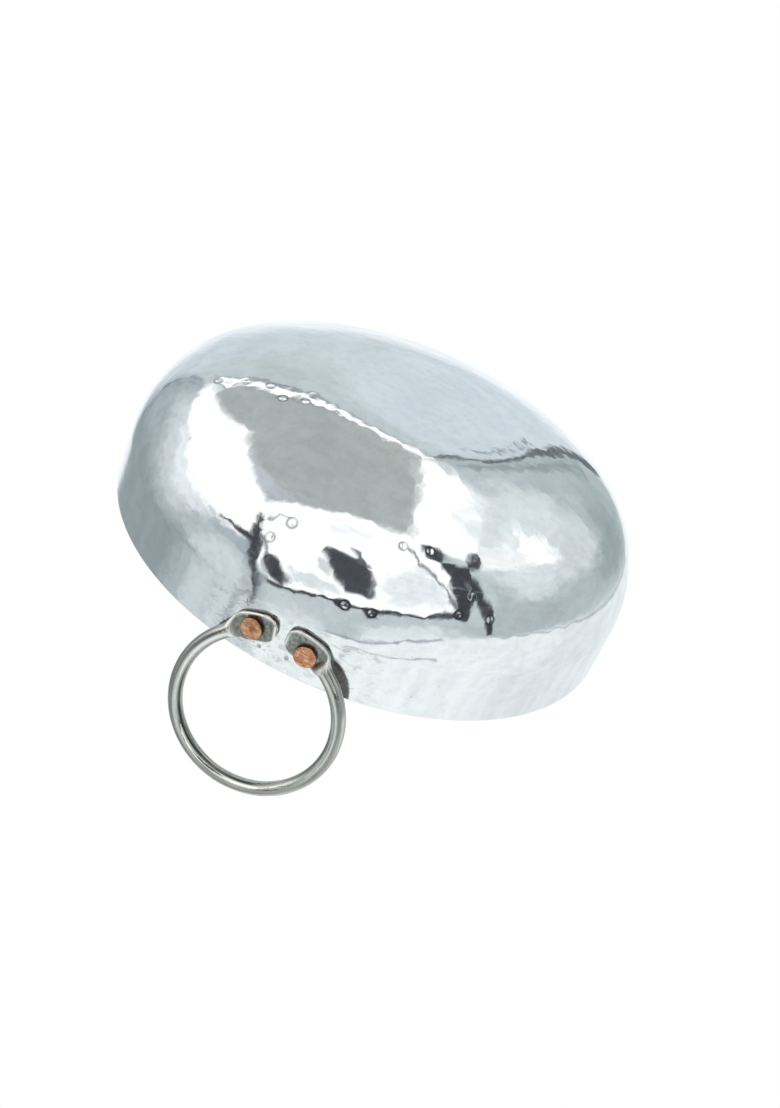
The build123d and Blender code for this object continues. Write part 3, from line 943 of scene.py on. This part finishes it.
    # Edges of the table, and of the backdrop.
    line([(-50, -45), (-26, -46), (-6, -50), (10, -47.5), (40, -38)], 0.9, 0.9, (0.36, 0.40, 0.44), 0.9)
    waves = [(-30, -61), (-16, -60), (-8, -64), (1, -63), (8, -66),
             (17, -61.5), (24, -62), (30, -57), (43, -54.5)]
    line(waves, 0.8, 0.7, (0.38, 0.43, 0.46), 0.85)
    area([(-60, -34), (-46, -30), (-24, -38), (-36, -56), (-56, -46)],
         5.0, (0.84, 0.89, 0.91), 0.8, wispy=True)
    line([(62, -31), (90, -22.5), (120, -10), (150, 2)], 0.8, 0.8, (0.47, 0.53, 0.56), 0.85)
    line([(-139, 57), (-140, 39), (-143.6, 27.4), (-146, 16)], 0.6, 0.6, (0.20, 0.27, 0.31), 0.9)
    line([(-135, 57), (-136.5, 44), (-140, 31), (-141, 20)], 0.5, 0.6, (0.24, 0.30, 0.34), 0.75)
    slate = (0.12, 0.135, 0.15)
    line([(123, 60), (131, 54), (134, 47), (139, 41), (145, 31), (157, 14)], 0.9, 0.5, slate, 0.9)
    for k in range(5):
        line([(138.0 + 0.8 * k, 48.5 - 2.1 * k), (141.2 + 0.8 * k, 50.5 - 2.1 * k)],
             0.35, 0.4, slate, 0.85)
    line([(121, 56), (127, 51), (131, 44), (137, 36), (146, 24)], 1.4, 1.4, (0.29, 0.36, 0.39), 0.75)
    # The ceiling's bright far edge, between two dark lines. It runs on behind, so it is in two parts.
    for places in (
        [(121, 60), (130, 63.7), (140, 67.3), (155, 70.7), (168, 72.2), (181, 73.0)],
        [(-181, 73.0), (-168, 71.6), (-155, 68.6), (-146, 64.0)],
    ):
        line([(az, el - 1.9) for az, el in places], 1.0, 0.6, (0.24, 0.27, 0.29), 0.75)
        line([(az, el + 1.8) for az, el in places], 0.8, 0.6, (0.27, 0.30, 0.31), 0.75)
        line(places, 1.5, 0.5, 1.35)
    mottled = tree.ramp(streaks, 0.28, 0.72, 0.93, 1.05)
    seen = tree.put("ShaderNodeVectorMath", {0: seen, 3: mottled}, operation="SCALE")

    glossy = tree.put("ShaderNodeBackground", {0: seen, 1: 1.0})
    even = tree.put("ShaderNodeBackground", {0: colour(1.0, 1.0, 1.0), 1: EVEN_LIGHT})
    white = tree.put("ShaderNodeBackground", {0: colour(1.0, 1.0, 1.0), 1: 1.0})
    path = tree.put("ShaderNodeLightPath", {}).node
    polished = tree.maths("MAXIMUM", path.outputs["Is Glossy Ray"], path.outputs["Is Transmission Ray"])
    lit = tree.put("ShaderNodeMixShader", {0: polished, 1: even, 2: glossy})
    shown = tree.put("ShaderNodeMixShader", {0: path.outputs["Is Camera Ray"], 1: lit, 2: white})
    output = nodes.new("ShaderNodeOutputWorld")
    tree.tree.links.new(shown, output.inputs[0])


def floor():
    """A pale floor that the kadai stands on. Its back is clear, so that the sole shows from below."""
    mesh = bpy.data.meshes.new("floor")
    reach = 3.0
    corners = [(-reach, -reach, 0), (reach, -reach, 0), (reach, reach, 0), (-reach, reach, 0)]
    mesh.from_pydata(corners, [], [(0, 1, 2, 3)])
    piece = bpy.data.objects.new("floor", mesh)
    bpy.context.scene.collection.objects.link(piece)
    made, tree, shader = material("pale_floor")
    shader.inputs["Base Color"].default_value = colour(0.98, 0.98, 0.98)
    shader.inputs["Roughness"].default_value = 0.9
    shader.inputs["Specular IOR Level"].default_value = 0.0
    place = tree.put("ShaderNodeNewGeometry", {}).node
    clear = tree.put("ShaderNodeBsdfTransparent", {})
    from_behind = place.outputs["Backfacing"]
    shown = tree.put("ShaderNodeMixShader", {0: from_behind, 1: shader.outputs[0], 2: clear})
    output = made.node_tree.nodes["Material Output"]
    tree.tree.links.new(shown, output.inputs[0])
    mesh.materials.append(made)
    piece.visible_shadow = False
    piece.visible_glossy = False
    piece.visible_transmission = False
    piece.visible_diffuse = False


def lamp():
    """A broad lamp overhead, which gives the floor its soft shadow."""
    data = bpy.data.lights.new("overhead", "SUN")
    data.energy = LAMP_LIGHT
    data.angle = math.radians(25)
    piece = bpy.data.objects.new("overhead", data)
    piece.rotation_euler = (math.radians(28), math.radians(-18), 0)
    piece.visible_glossy = False
    bpy.context.scene.collection.objects.link(piece)


studio_world()
floor()
lamp()

bpy.context.scene.view_settings.view_transform = "Standard"
